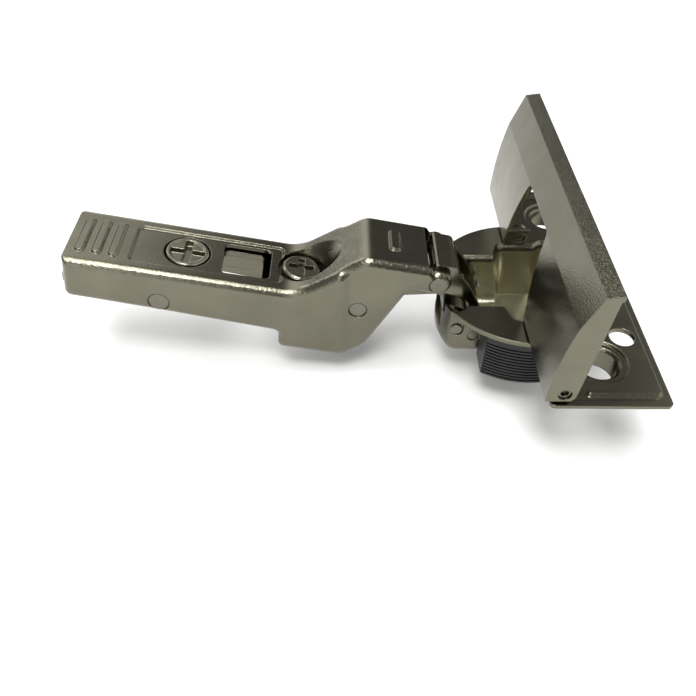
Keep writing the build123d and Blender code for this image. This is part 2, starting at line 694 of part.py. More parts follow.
with BuildPart() as release_spring:
    coil_end = lever_half - LEVER_CHEEK - RELEASE_COIL_GAP
    coil_start = coil_end - RELEASE_COIL_LENGTH
    coil_r = REAR_PIN_R + COIL_PLAY + RELEASE_WIRE_R
    coil_x, coil_z = arm_point(*REAR_PIVOT)
    coil_top = coil_z + coil_r
    roof_x, roof_z = arm_point(REAR_PIVOT[0] + 3.0, ADAPTER_TOP - SHEET - RELEASE_WIRE_R - 0.03)
    web_x, web_z = arm_point(*LEVER_WEB_TOP)
    web_z += RELEASE_WIRE_R + 0.03
    add(torsion_coil((coil_x, coil_z), coil_start, coil_end, coil_r, RELEASE_WIRE_R, 2))
    add(wire_leg([
        (coil_x + WIRE_OVERLAP, coil_start, coil_top), (web_x, coil_start, web_z),
    ], RELEASE_WIRE_R))
    add(wire_leg([
        (coil_x - WIRE_OVERLAP, coil_end, coil_top), (roof_x, coil_end, roof_z),
    ], RELEASE_WIRE_R))

release_spring.part.label = "release_spring"
export_step(release_spring.part, "parts/release_spring.step")

# ================================================================ outer link, a bent U
tip_x, tip_z = TIP_PIVOT
cup_pin_x, cup_pin_z = OUTER_CUP_PIVOT
web_rear = arm_point(-1.0, OUTER_LINK_TOP)
web_front = arm_point(2.9, OUTER_LINK_TOP)
web_foot = (tip_x + 4.3, tip_z + 0.6)
web_rear_in = arm_point(-1.0, OUTER_LINK_TOP - SHEET)
web_front_in = arm_point(2.9 - 0.6 * SHEET, OUTER_LINK_TOP - SHEET)
web_foot_in = (web_foot[0] - SHEET - 0.1, web_foot[1] - 0.3)

with BuildPart() as outer_link:
    # flanges from the tip pivot over the cup's end wall and down to the cup pin
    with BuildSketch(cup_side()):
        with BuildLine():
            FilletPolyline(
                web_rear, web_front, web_foot, (-12.2, 3.15), (-9.75, -1.3),
                (cup_pin_x + 2.1, cup_pin_z + 0.8), (cup_pin_x, cup_pin_z), (cup_pin_x - 1.9, cup_pin_z + 1.2),
                (-11.3, -1.4), (-13.2, 0.3), (-16.9, 1.8), (tip_x - 1.5, tip_z - 2.2), (tip_x - 2.4, tip_z + 0.6),
                radius=[0.8, 1.3, 1.0, 3.0, 2.0, 0, 0, 0, 1.5, 1.5, 2.0, 0, 0.5],
                close=True,
            )
        make_face()
        with Locations(TIP_PIVOT):
            Circle(TIP_EYE_R)
        with Locations(OUTER_CUP_PIVOT):
            Circle(CUP_EYE_R)
    extrude(amount=OUTER_LINK_HALF, both=True)
    # web over the tip pivot; the rest is open between the flanges
    with BuildSketch(cup_side()):
        with Locations(TIP_PIVOT):
            Rectangle(8 * CUP_EYE_R + 2 * DRILLING, 2 * DRILLING)
        with BuildLine():
            FilletPolyline(
                (web_rear[0] - 2, web_rear[1] + 4), (web_front[0] + 4, web_rear[1] + 4),
                (web_foot[0] + 4, web_foot[1] - 0.3), web_foot_in, web_front_in, web_rear_in,
                radius=[0, 0, 0, 0, 0.6, 0],
                close=True,
            )
        make_face(mode=Mode.SUBTRACT)
    extrude(amount=OUTER_LINK_INSIDE, both=True, mode=Mode.SUBTRACT)
    with BuildSketch(cup_side()):
        with Locations(TIP_PIVOT):
            Circle(TIP_PIN_R + RUNNING)
        with Locations(OUTER_CUP_PIVOT):
            Circle(LINK_PIN_R + RUNNING)
    extrude(amount=2 * OUTER_LINK_HALF, both=True, mode=Mode.SUBTRACT)

outer_link.part.label = "outer_link"
export_step(outer_link.part, "parts/outer_link.step")

# ================================================================ inner link, a goose-necked bar
arm_pin_x, arm_pin_z = arm_point(*ARM_PIVOT)
neck_x, neck_z = INNER_CUP_PIVOT
slot_x = arm_pin_x + SLOT_CENTRE[0]
slot_z = arm_pin_z + SLOT_CENTRE[1]
slot_length = SLOT_TRAVEL + 2 * (ARM_PIN_R + RUNNING)
slot_width = SLOT_DRIFT + 2 * (ARM_PIN_R + RUNNING)

with BuildPart() as inner_link:
    with BuildSketch(cup_side()):
        with BuildLine():
            FilletPolyline(
                (slot_x, slot_z + slot_width / 2 + SLOT_WALL), (slot_x + 6, slot_z + 3.7),
                (tip_x + 0.3, tip_z - 2.9), (neck_x - 1.25, neck_z + 5.4), (neck_x - 0.6, neck_z + 2.0),
                (neck_x, neck_z), (neck_x - 2.2, neck_z + 0.3), (neck_x - 2.8, neck_z + NECK_RISE),
                (tip_x + 0.2, tip_z - 5.2), (slot_x + 6, slot_z + 0.4),
                (slot_x, slot_z - slot_width / 2 - SLOT_WALL),
                radius=[0, 4.0, 3.0, 1.5, 0, 0, 0, 1.5, 2.0, 6.0, 0],
                close=True,
            )
        make_face()
        with Locations(INNER_CUP_PIVOT):
            Circle(CUP_EYE_R)
        with Locations((slot_x, slot_z)):
            SlotOverall(slot_length + 2 * SLOT_WALL, slot_width + 2 * SLOT_WALL, rotation=SLOT_ANGLE)
    extrude(amount=INNER_LINK_HALF, both=True)
    with BuildSketch(cup_side()):
        with Locations(INNER_CUP_PIVOT):
            Circle(LINK_PIN_R + RUNNING)
        with Locations((slot_x, slot_z)):
            SlotOverall(slot_length, slot_width, rotation=SLOT_ANGLE)
    extrude(amount=2 * INNER_LINK_HALF, both=True, mode=Mode.SUBTRACT)

inner_link.part.label = "inner_link"
export_step(inner_link.part, "parts/inner_link.step")

# ================================================================ cup, drawn and pierced in one piece
body_r = DRILLING / 2 - DRILLING_PLAY
bead_y = FLANGE_WIDTH / 2 - BEAD_INSET
flap_half = FLANGE_WIDTH / 2 - EAR_INSET


def pocket_narrow(wall):
    """Pocket beside the pins, seen from above, rounded into the drilling at its end."""
    half = NARROW_HALF + wall
    with BuildSketch() as outline:
        Circle(body_r - PLATE + wall)
        with Locations((0, 0)):
            Rectangle(2 * body_r, 2 * half, mode=Mode.INTERSECT)
        with Locations((body_r + NARROW_END + 6, 0)):
            Rectangle(2 * body_r, 4 * half, mode=Mode.SUBTRACT)
    return outline.sketch_local


def pocket_wide(wall):
    """Pocket beside the arm's nose, seen from above, stepping out twice towards the flap."""
    middle = MIDDLE_HALF + wall
    wide = WIDE_HALF + wall
    with BuildSketch() as outline:
        with BuildLine():
            FilletPolyline(
                (NARROW_END, -NARROW_HALF - wall), (MIDDLE_START - wall, -middle), (MIDDLE_END, -middle),
                (WIDE_START, -wide), (body_r, -wide), (body_r, wide), (WIDE_START, wide),
                (MIDDLE_END, middle), (MIDDLE_START - wall, middle), (NARROW_END, NARROW_HALF + wall),
                radius=[0, 1.6, 1.2, 1.2, 0, 0, 1.2, 1.2, 1.6, 0],
                close=True,
            )
        make_face()
        Circle(body_r - PLATE + wall, mode=Mode.INTERSECT)
    return outline.sketch_local


def pocket_form(wall):
    """Pocket, or its outside at a wall's thickness, with rounded bends at the floor."""
    floor = -POCKET_DEPTH - wall
    with BuildPart() as narrow:
        with BuildSketch(Plane.XY.offset(PLATE)):
            add(pocket_narrow(wall))
        extrude(amount=floor - PLATE)
        upright = narrow.edges().filter_by(Axis.Z).filter_by(lambda edge: (edge @ 0.5).X < NARROW_END)
        low = narrow.edges().filter_by(lambda edge: abs((edge @ 0.5).Z - floor) < RUNNING)
        low = low.filter_by(lambda edge: (edge @ 0.5).X < 0)
        fillet(upright + low, radius=POCKET_CORNER_R + wall)
    with BuildPart() as wide:
        with BuildSketch(Plane.XY.offset(PLATE)):
            add(pocket_wide(wall))
        extrude(amount=floor - PLATE, taper=POCKET_DRAFT)
        low = wide.edges().filter_by(lambda edge: abs((edge @ 0.5).Z - floor) < RUNNING)
        fillet(low.filter_by(lambda edge: edge.length > body_r), radius=POCKET_CORNER_R + wall)
    with BuildPart() as form:
        add(narrow.part)
        add(wide.part)
    return form.part


beyond_rim = (1.6 * RIM_END[0], 1.6 * RIM_END[1])

with BuildPart() as cup:
    # flange: round lip towards the arm, wide plate towards the flap
    with BuildSketch(Plane.XY):
        Circle(RIM_R)
        with BuildLine():
            Polyline(
                SHOULDER, RIM_END, beyond_rim, (beyond_rim[0], -beyond_rim[1]),
                (RIM_END[0], -RIM_END[1]), (SHOULDER[0], -SHOULDER[1]),
                close=True,
            )
        make_face(mode=Mode.SUBTRACT)
        with Locations(((FLANGE_LEFT + FLANGE_RIGHT) / 2, 0)):
            RectangleRounded(FLANGE_RIGHT - FLANGE_LEFT, FLANGE_WIDTH, 1.0)
    extrude(amount=PLATE)
    # underside relieved over the jaws, then the pocket's outside
    with BuildSketch(Plane.XY):
        Circle(DRILLING / 2)
    extrude(amount=JAW_RELIEF, mode=Mode.SUBTRACT)
    add(pocket_form(PLATE))
    # collars under the fixing holes
    with BuildSketch(Plane.XY):
        with Locations((SCREW_OFFSET, SCREW_SPACING / 2), (SCREW_OFFSET, -SCREW_SPACING / 2)):
            Circle(COIN_R + 0.5)
    extrude(amount=-COIN_DEPTH)
    with BuildSketch(Plane.XY):
        with Locations((SCREW_OFFSET, SCREW_SPACING / 2), (SCREW_OFFSET, -SCREW_SPACING / 2)):
            Circle(SCREW_HOLE_R + COLLAR_WALL)
    extrude(amount=-COLLAR_LENGTH)
    # holes of the flange
    with BuildSketch(Plane.XY.offset(PLATE)):
        with Locations((SCREW_OFFSET, SCREW_SPACING / 2), (SCREW_OFFSET, -SCREW_SPACING / 2)):
            Circle(COIN_R)
    extrude(amount=-COIN_DEPTH, mode=Mode.SUBTRACT)
    with BuildSketch(Plane.XY.offset(PLATE)):
        with Locations((SCREW_OFFSET, SCREW_SPACING / 2), (SCREW_OFFSET, -SCREW_SPACING / 2)):
            Circle(SCREW_HOLE_R)
        with Locations((PILOT_OFFSET, PILOT_SPACING / 2), (PILOT_OFFSET, -PILOT_SPACING / 2)):
            Circle(PILOT_R)
    extrude(amount=-PLATE - COLLAR_LENGTH, mode=Mode.SUBTRACT)
    for ring_r, level, bevel in (
        (SCREW_HOLE_R, PLATE - COIN_DEPTH, MOUTH_BEVEL),
        (COIN_R, PLATE, COIN_BEVEL),
    ):
        circles = cup.edges().filter_by(GeomType.CIRCLE)
        rings = [edge for edge in circles if abs(edge.radius - ring_r) < RUNNING]
        chamfer([edge for edge in rings if abs((edge @ 0).Z - level) < RUNNING], length=bevel)
    # stiffening beads beside the flap's ears
    with BuildSketch(Plane.XY.offset(PLATE)):
        with Locations(((BEAD_START + BEAD_END) / 2, bead_y), ((BEAD_START + BEAD_END) / 2, -bead_y)):
            SlotOverall(BEAD_END - BEAD_START, BEAD_WIDTH)
    extrude(amount=BEAD_HEIGHT, taper=PRESSED_DRAFT)
    # upright lugs that carry the flap's pins
    for lug_y in (INNER_EAR_Y + PLATE + LUG_GAP, flap_half - EAR_SHEET - LUG_GAP - LUG_PLATE):
        for side in (-1, 1):
            with BuildSketch(cup_side(side * lug_y)):
                with Locations(FLAP_PIVOT):
                    Circle(LUG_R)
                with Locations((FLAP_PIVOT[0], (FLAP_PIVOT[1] + PLATE / 2) / 2)):
                    Rectangle(2 * LUG_R, FLAP_PIVOT[1] - PLATE / 2)
            extrude(amount=-side * LUG_PLATE)
    add(pocket_form(0), mode=Mode.SUBTRACT)
    for mouth in (pocket_narrow(POCKET_BEVEL), pocket_wide(POCKET_BEVEL)):
        with BuildSketch(Plane.XY.offset(PLATE)):
            add(mouth)
        extrude(amount=-POCKET_BEVEL, taper=45, mode=Mode.SUBTRACT)
    # end wall lowered under the links, and notched for the links and the inner link's eye
    with BuildSketch(Plane.XY.offset(2 * PLATE)):
        with Locations(((SHOULDER[0] - RIM_R) / 2, 0)):
            Rectangle(SHOULDER[0] + RIM_R, 2 * (NARROW_HALF + PLATE))
    extrude(amount=-2 * PLATE - END_WALL_DROP, mode=Mode.SUBTRACT)
    for notch_half, notch_depth in ((LINK_NOTCH_HALF, LINK_NOTCH_DEPTH), (EYE_NOTCH_HALF, EYE_NOTCH_DEPTH)):
        with BuildSketch(Plane.XY.offset(PLATE)):
            with Locations((-body_r, 0)):
                Rectangle(6, 2 * notch_half)
        extrude(amount=-PLATE - notch_depth, mode=Mode.SUBTRACT)
    # lowered margin along the flange's ends and outer edge
    with BuildSketch(Plane.XY.offset(PLATE)):
        with Locations((FLANGE_RIGHT, 0)):
            Rectangle(2 * (FLANGE_RIGHT - FLANGE_LEFT), 2 * FLANGE_WIDTH)
        with Locations((FLANGE_LEFT, 0)):
            RectangleRounded(
                2 * (MARGIN_START - FLANGE_LEFT), FLANGE_WIDTH - 2 * MARGIN_WIDTH, MARGIN_CORNER_R,
                mode=Mode.SUBTRACT,
            )
    extrude(amount=-MARGIN_DEPTH, mode=Mode.SUBTRACT)
    # bores of the cup pins and flap pins
    with BuildSketch(cup_side()):
        with Locations(OUTER_CUP_PIVOT, INNER_CUP_PIVOT):
            Circle(LINK_PIN_R)
        with Locations(FLAP_PIVOT):
            Circle(FLAP_PIN_R)
    extrude(amount=FLANGE_WIDTH, both=True, mode=Mode.SUBTRACT)
    # recess round the end of the inner cup pin
    for side in (-1, 1):
        with BuildSketch(cup_side(side * (NARROW_HALF + PLATE - 0.5))):
            with Locations(INNER_CUP_PIVOT):
                Circle(LINK_PIN_R + CUP_RECESS_LIP)
            with Locations((neck_x, neck_z / 2)):
                Rectangle(2 * (LINK_PIN_R + CUP_RECESS_LIP), -neck_z)
        extrude(amount=-side * PLATE, mode=Mode.SUBTRACT)

cup.part.label = "cup"
export_step(cup.part, "parts/cup.step")

# ================================================================ cup pins and flap pins
cup_pin_end = NARROW_HALF + PLATE - 0.15
cup_pin_profile = [(0, 0), (LINK_PIN_R, 0), (LINK_PIN_R, cup_pin_end), (0, cup_pin_end)]

cup_pin_outer = cross_pin(OUTER_CUP_PIVOT, cup_pin_profile)
cup_pin_outer.part.label = "cup_pin_outer"
export_step(cup_pin_outer.part, "parts/cup_pin_outer.step")

cup_pin_inner = cross_pin(INNER_CUP_PIVOT, cup_pin_profile)
cup_pin_inner.part.label = "cup_pin_inner"
export_step(cup_pin_inner.part, "parts/cup_pin_inner.step")

with BuildPart() as flap_pins:
    for pin_start in (INNER_EAR_Y + FLAP_PIN_RECESS, flap_half - EAR_SHEET - LUG_GAP - LUG_PLATE):
        for side in (-1, 1):
            with BuildSketch(cup_side(side * pin_start)):
                with Locations(FLAP_PIVOT):
                    Circle(FLAP_PIN_R)
            extrude(amount=-side * (PLATE + LUG_GAP + LUG_PLATE - FLAP_PIN_RECESS))
    # hollow ends towards the outside of the flap and towards the pocket
    for bore_start in (INNER_EAR_Y, flap_half - FLAP_PIN_BORE_DEPTH - FLAP_PIN_RECESS):
        for side in (-1, 1):
            with BuildSketch(cup_side(side * bore_start)):
                with Locations(FLAP_PIVOT):
                    Circle(FLAP_PIN_BORE_R)
            extrude(amount=-side * (FLAP_PIN_BORE_DEPTH + FLAP_PIN_RECESS), mode=Mode.SUBTRACT)

flap_pins.part.label = "flap_pins"
export_step(flap_pins.part, "parts/flap_pins.step")

# ================================================================ closing springs on the outer cup pin
with BuildPart() as closing_springs:
    coil_r = LINK_PIN_R + COIL_PLAY + SPRING_WIRE_R
    outside_y = NARROW_HALF - 0.05 - SPRING_WIRE_R
    inside_y = OUTER_LINK_HALF + 0.15 + SPRING_WIRE_R
    hook_x = cup_pin_x + 2.3
    hook_z = cup_pin_z + 2.6
    add(torsion_coil(OUTER_CUP_PIVOT, outside_y, inside_y, coil_r, SPRING_WIRE_R, 1.25))
    # tail along the cup's floor, and the hook over the outer link's edge
    tail_z = cup_pin_z - coil_r
    add(wire_leg([
        (cup_pin_x + WIRE_OVERLAP, outside_y, tail_z), (cup_pin_x - 1.8, outside_y, tail_z),
    ], SPRING_WIRE_R))
    add(wire_leg([
        (cup_pin_x + coil_r, inside_y, cup_pin_z - WIRE_OVERLAP), (hook_x, inside_y, hook_z),
        (hook_x, OUTER_LINK_INSIDE + SPRING_WIRE_R, hook_z),
    ], SPRING_WIRE_R))
    mirror(about=Plane.XZ)

closing_springs.part.label = "closing_springs"
export_step(closing_springs.part, "parts/closing_springs.step")


# ================================================================ expanding jaws
def jaw_outline(radius, left):
    """One jaw seen from above, between the pocket's wall and the drilling."""
    narrow = NARROW_HALF + PLATE + JAW_PLAY
    middle = MIDDLE_HALF + PLATE + JAW_PLAY
    wide = WIDE_HALF + PLATE + JAW_PLAY
    with BuildSketch() as outline:
        with BuildLine():
            Polyline(
                (left, narrow), (NARROW_END - PLATE - JAW_PLAY, narrow),
                (MIDDLE_START - PLATE - JAW_PLAY, middle), (MIDDLE_END - JAW_PLAY, middle),
                (WIDE_START - JAW_PLAY, wide), (JAW_RIGHT, wide),
                (JAW_RIGHT, 2 * radius), (left, 2 * radius),
                close=True,
            )
        make_face()
        Circle(radius, mode=Mode.INTERSECT)
    return outline.sketch_local


rib_pitch = (JAW_TOP - RIB_BAND - JAW_BOTTOM) / RIB_COUNT

with BuildPart() as jaw_far:
    with BuildSketch(Plane.XY.offset(JAW_TOP)):
        add(jaw_outline(body_r, JAW_LEFT))
    extrude(amount=JAW_BOTTOM - JAW_TOP)
    # grooves between the ribs
    for groove in range(RIB_COUNT):
        with BuildSketch(Plane.XY.offset(JAW_BOTTOM + groove * rib_pitch)):
            Circle(body_r + RIB_DEPTH)
            Circle(body_r - RIB_DEPTH, mode=Mode.SUBTRACT)
        extrude(amount=0.45 * rib_pitch, mode=Mode.SUBTRACT)

jaw_far.part.label = "jaw_far"
export_step(jaw_far.part, "parts/jaw_far.step")

with BuildPart() as jaw_near:
    add(mirror(jaw_far.part, about=Plane.XZ, mode=Mode.PRIVATE))

jaw_near.part.label = "jaw_near"
export_step(jaw_near.part, "parts/jaw_near.step")

# ================================================================ locking flap, folded in one piece
flap_x, flap_z = FLAP_PIVOT
ear_top = (LIP_END[0] - 0.4, LIP_END[1] - PLATE - 0.2)
flap_drop = 5 * PLATE


def flap_face(inset):
    """Start, arc and crest points of the flap's curved face, moved inwards by an inset."""
    return (
        (FLAP_FACE_X + inset, FLAP_BOTTOM - 4 * inset),
        (FLAP_MIDDLE[0] + inset, FLAP_MIDDLE[1]),
        (FLAP_BEND[0] + inset, FLAP_BEND[1] - 0.15 * inset),
        (FLAP_CREST[0] + 0.8 * inset, FLAP_CREST[1] - inset),
    )


with BuildPart() as flap:
    # side view: curved face, lip, ear's free edge and its rounded foot
    foot_half = sqrt(EAR_REACH ** 2 - (flap_z - EAR_BOTTOM) ** 2)
    with BuildSketch(cup_side()):
        start, middle, bend, crest = flap_face(0)
        with BuildLine():
            ThreePointArc(start, middle, bend)
            Line(bend, crest)
            Line(crest, LIP_END)
            Line(LIP_END, (LIP_END[0], LIP_END[1] - PLATE))
            Line((LIP_END[0], LIP_END[1] - PLATE), ear_top)
            Line(ear_top, (flap_x + EAR_REACH, flap_z))
            ThreePointArc(
                (flap_x + EAR_REACH, flap_z),
                (flap_x + EAR_REACH * cos(radians(27)), flap_z - EAR_REACH * sin(radians(27))),
                (flap_x + foot_half, EAR_BOTTOM),
            )
            Line((flap_x + foot_half, EAR_BOTTOM), (start[0] + 0.5, EAR_BOTTOM))
            Line((start[0] + 0.5, EAR_BOTTOM), start)
        make_face()
    extrude(amount=flap_half, both=True)
    # hollow behind the face, between the ears and under the lip
    with BuildSketch(cup_side()):
        start, middle, bend, crest = flap_face(PLATE)
        with BuildLine():
            Line((start[0], start[1] - flap_drop), start)
            ThreePointArc(start, middle, bend)
            Line(bend, crest)
            Line(crest, (LIP_END[0] + 3, LIP_END[1] - PLATE + 0.3))
            Line((LIP_END[0] + 3, LIP_END[1] - PLATE + 0.3), (LIP_END[0] + 3, start[1] - flap_drop))
            Line((LIP_END[0] + 3, start[1] - flap_drop), (start[0], start[1] - flap_drop))
        make_face()
    extrude(amount=flap_half - EAR_SHEET, both=True, mode=Mode.SUBTRACT)
    # notch that clears the arm, leaving two lobes
    with BuildSketch(Plane.YZ.offset(-NOTCH_REACH)):
        with BuildLine():
            FilletPolyline(
                (-NOTCH_HALF_LOW, 0), (-NOTCH_HALF_LOW, FLAP_BOTTOM + PLATE), (-NOTCH_HALF_HIGH, NOTCH_TOP),
                (NOTCH_HALF_HIGH, NOTCH_TOP), (NOTCH_HALF_LOW, FLAP_BOTTOM + PLATE), (NOTCH_HALF_LOW, 0),
                radius=[0, 0, NOTCH_CORNER_R, NOTCH_CORNER_R, 0, 0],
                close=True,
            )
        make_face()
    extrude(amount=2 * NOTCH_REACH, mode=Mode.SUBTRACT)
    # small inner ears beside the notch
    for side in (-1, 1):
        with BuildSketch(cup_side(side * INNER_EAR_Y)):
            with BuildLine():
                Polyline(
                    (FLAP_FACE_X + 0.1, EAR_BOTTOM), (flap_x + foot_half, EAR_BOTTOM),
                    (flap_x + EAR_REACH, INNER_EAR_TOP), (FLAP_FACE_X + 0.2, INNER_EAR_TOP),
                    close=True,
                )
            make_face()
        extrude(amount=-side * PLATE)
    with BuildSketch(cup_side()):
        with Locations(FLAP_PIVOT):
            Circle(FLAP_PIN_R + RUNNING)
    extrude(amount=2 * flap_half, both=True, mode=Mode.SUBTRACT)

flap.part.label = "flap"
export_step(flap.part, "parts/flap.step")
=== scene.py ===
"""Concealed cup hinge: looks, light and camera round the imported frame.

Metres, unless named otherwise.
"""
import json
import math

import bpy
from mathutils import Matrix, Vector


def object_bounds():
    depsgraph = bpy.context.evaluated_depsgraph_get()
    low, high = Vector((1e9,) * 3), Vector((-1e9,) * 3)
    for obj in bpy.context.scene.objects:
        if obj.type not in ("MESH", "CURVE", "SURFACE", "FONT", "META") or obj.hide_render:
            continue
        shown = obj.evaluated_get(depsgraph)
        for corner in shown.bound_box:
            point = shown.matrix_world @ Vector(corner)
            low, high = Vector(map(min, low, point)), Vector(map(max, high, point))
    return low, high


MM = 0.001

# ------------------------------------------------------------ camera, at the photographer's place
CAMERA_AZIMUTH = math.radians(-0.8)
CAMERA_ELEVATION = math.radians(45.55)
CAMERA_ROLL = math.radians(1.09)
CAMERA_DISTANCE = 145.1 * MM
CAMERA_TARGET = Vector((-35.96, -6.47, -12.67)) * MM
CAMERA_LENS = 35.51             # in millimetres, as is the sensor's width
CAMERA_SENSOR = 36.0
CAMERA_CLIP = 5.0 * MM

# ------------------------------------------------------------ floor, lamps and soft room light
FLOOR_SIZE = 3.0
FLOOR_GAP = 6.0 * MM            # the cup swings down this far under its place at rest
FLOOR_COLOURS = ((0.3, (0.86, 0.86, 0.855)), (0.7, (0.89, 0.89, 0.885)))
FLOOR_ROUGHNESS = 0.75
FLOOR_SPECULAR = 0.2
FLOOR_CELLS = 60.0
WALL_GREY = 0.92                # the studio's wall where the camera sees it

LAMPS = (                       # name, place, aim, width and height, watts
    ("overhead", (-0.06, -0.06, 0.70), (-0.04, 0, 0), (0.34, 0.22), 1.9),
    ("camera side", (-0.06, -0.16, 0.33), (-0.02, 0, 0), (0.14, 0.09), 0.8),
    ("left", (-0.55, 0.42, 0.50), (-0.06, 0, 0), (0.35, 0.35), 1.0),
)

SKY_STRENGTH = 1.8
SKY_STOPS = (                   # from -X to +X: dim, bright to the left of the hinge, dark, dim
    (0.05, (0.22, 0.22, 0.22)),
    (0.20, (0.24, 0.24, 0.24)),
    (0.34, (1.0, 1.0, 0.995)),
    (0.432, (1.0, 1.0, 0.995)),
    (0.486, (0.47, 0.47, 0.465)),
    (0.55, (0.12, 0.12, 0.118)),
    (0.69, (0.10, 0.10, 0.098)),
    (0.74, (0.42, 0.42, 0.415)),
    (0.85, (0.70, 0.70, 0.69)),
)

# ------------------------------------------------------------ plated metal
EDGE_WEAR = 0.30 * MM           # radius that sharp edges are shaded to
EDGE_SAMPLES = 6
CLOUD_CELLS = 70.0              # noise, in cells per metre
WEAR_CELLS = 260.0
GRAIN_CELLS = 2600.0
GRAIN_DETAIL = 1.5
FLAT_GRAIN = 0.1                # strength of the grain on flat faces, and what bends add to it
BEND_GRAIN = 0.8
MASK_SLOPE = 8.0                # how fast a mask of normals rises
TOP_START = 0.8                 # Z of the normal from which a face counts as a top

METALS = {                      # colours, roughness from smooth to worn, height of the grain
    "nickel_sheet": {
        "light": (0.172, 0.165, 0.125), "dark": (0.120, 0.115, 0.084),
        "smooth": 0.17, "worn": 0.25, "grain": 0.080 * MM,
    },
    "nickel_cup": {
        "light": (0.165, 0.158, 0.118), "dark": (0.118, 0.113, 0.082),
        "smooth": 0.20, "worn": 0.27, "grain": 0.060 * MM,
        # painted light: the pocket's hollow is painted far lighter and yellower than the sheet,
        # standing in for the light that falls into it
        "pocket_painted_light": (0.50, 0.48, 0.365),
    },
    "nickel_flap": {
        "light": (0.172, 0.165, 0.125), "dark": (0.120, 0.115, 0.084),
        "smooth": 0.20, "worn": 0.28, "grain": 0.180 * MM,
        "bend_grain": 0.2, "top_grain": 0.9, "cells": 3000.0,
    },
    "nickel_pin": {
        "light": (0.18, 0.173, 0.138), "dark": (0.13, 0.125, 0.096),
        "smooth": 0.22, "worn": 0.32, "grain": 0.040 * MM,
    },
    "nickel_screw": {
        "light": (0.26, 0.250, 0.195), "dark": (0.19, 0.182, 0.138),
        "smooth": 0.16, "worn": 0.24, "grain": 0.040 * MM,
    },
    "spring_wire": {
        "light": (0.22, 0.215, 0.195), "dark": (0.15, 0.147, 0.135),
        "smooth": 0.25, "worn": 0.36, "grain": 0.010 * MM,
    },
}

# ------------------------------------------------------------ the cup's drawn pocket, in its axes, where a lighter colour is painted in as painted light
POCKET_R = 16.9 * MM
POCKET_TAPER = 0.194            # growth of that radius with Z
POCKET_HALF = 8.0 * MM          # half width of its narrow end, at -X
POCKET_STEPS = ((-4.5 * MM, 4.2 * MM), (4.2 * MM, 4.5 * MM))    # X from which it is wider, by what
POCKET_MOUTH_Z = -0.4 * MM
POCKET_FLOOR_Z = -11.5 * MM

# ------------------------------------------------------------ the jaws' plastic
PLASTIC_COLOURS = ((0.3, (0.006, 0.006, 0.0065)), (0.7, (0.012, 0.012, 0.0125)))
PLASTIC_ROUGHNESS = ((0.3, (0.34,) * 3), (0.7, (0.46,) * 3))
PLASTIC_SPECULAR = 0.30
PLASTIC_TINT_CELLS = 400.0
PLASTIC_WEAR_CELLS = 1500.0
PLASTIC_GRAIN_CELLS = 5000.0
PLASTIC_GRAIN = 0.02 * MM
PLASTIC_GRAIN_STRENGTH = 0.3


def principled(name):
    """New material, with its node tree and its Principled shader."""
    material = bpy.data.materials.new(name)
    material.use_nodes = True
    tree = material.node_tree
    return material, tree, tree.nodes["Principled BSDF"]


def feed(tree, value, socket):
    """Link a socket to another one, or set it to a constant."""
    if isinstance(value, bpy.types.NodeSocket):
        tree.links.new(value, socket)
    else:
        socket.default_value = value


def math_node(tree, operation, *values):
    """Arithmetic on sockets and numbers."""
    node = tree.nodes.new("ShaderNodeMath")
    node.operation = operation
    for socket, value in zip(node.inputs, values):
        feed(tree, value, socket)
    return node.outputs[0]


def coordinates(tree, kind):
    """X, Y and Z of a texture coordinate."""
    place = tree.nodes.new("ShaderNodeTexCoord")
    split = tree.nodes.new("ShaderNodeSeparateXYZ")
    tree.links.new(place.outputs[kind], split.inputs["Vector"])
    return [split.outputs[axis] for axis in "XYZ"]


def noise(tree, scale, detail=3.0, stretch=(1.0, 1.0, 1.0)):
    """Noise in object space, in cells per metre, stretched along an axis if asked."""
    place = tree.nodes.new("ShaderNodeTexCoord")
    mapping = tree.nodes.new("ShaderNodeMapping")
    mapping.inputs["Scale"].default_value = stretch
    texture = tree.nodes.new("ShaderNodeTexNoise")
    texture.inputs["Scale"].default_value = scale
    texture.inputs["Detail"].default_value = detail
    texture.inputs["Roughness"].default_value = 0.5
    tree.links.new(place.outputs["Object"], mapping.inputs["Vector"])
    tree.links.new(mapping.outputs["Vector"], texture.inputs["Vector"])
    return texture.outputs["Fac"]


def ramp(tree, source, stops):
    """Colour ramp over a grey value."""
    node = tree.nodes.new("ShaderNodeValToRGB")
    while len(node.color_ramp.elements) < len(stops):
        node.color_ramp.elements.new(0.5)
    for element, (at, colour) in zip(node.color_ramp.elements, stops):
        element.position = at
        element.color = (*colour, 1.0)
    tree.links.new(source, node.inputs["Fac"])
    return node.outputs["Color"]


def bump(tree, shader, height, distance, strength):
    """Relief on a shader's surface."""
    node = tree.nodes.new("ShaderNodeBump")
    node.inputs["Distance"].default_value = distance
    feed(tree, strength, node.inputs["Strength"])
    tree.links.new(height, node.inputs["Height"])
    tree.links.new(node.outputs["Normal"], shader.inputs["Normal"])
    return node


def bend_mask(tree):
    """0 on the flat faces that lie square to the piece, rising to 1 on its bends and slopes."""
    across, along, upward = (
        math_node(tree, "ABSOLUTE", part) for part in coordinates(tree, "Normal")
    )
    squarest = math_node(tree, "MAXIMUM", math_node(tree, "MAXIMUM", across, along), upward)
    off_square = math_node(tree, "SUBTRACT", 1.0, squarest)
    return math_node(tree, "MINIMUM", math_node(tree, "MULTIPLY", off_square, MASK_SLOPE), 1.0)


def top_mask(tree):
    """1 on the faces that look straight up or down in the piece, 0 on its walls."""
    upward = math_node(tree, "ABSOLUTE", coordinates(tree, "Normal")[2])
    past_start = math_node(tree, "SUBTRACT", upward, TOP_START)
    steep = math_node(tree, "MULTIPLY", past_start, MASK_SLOPE)
    return math_node(tree, "MINIMUM", math_node(tree, "MAXIMUM", steep, 0.0), 1.0)


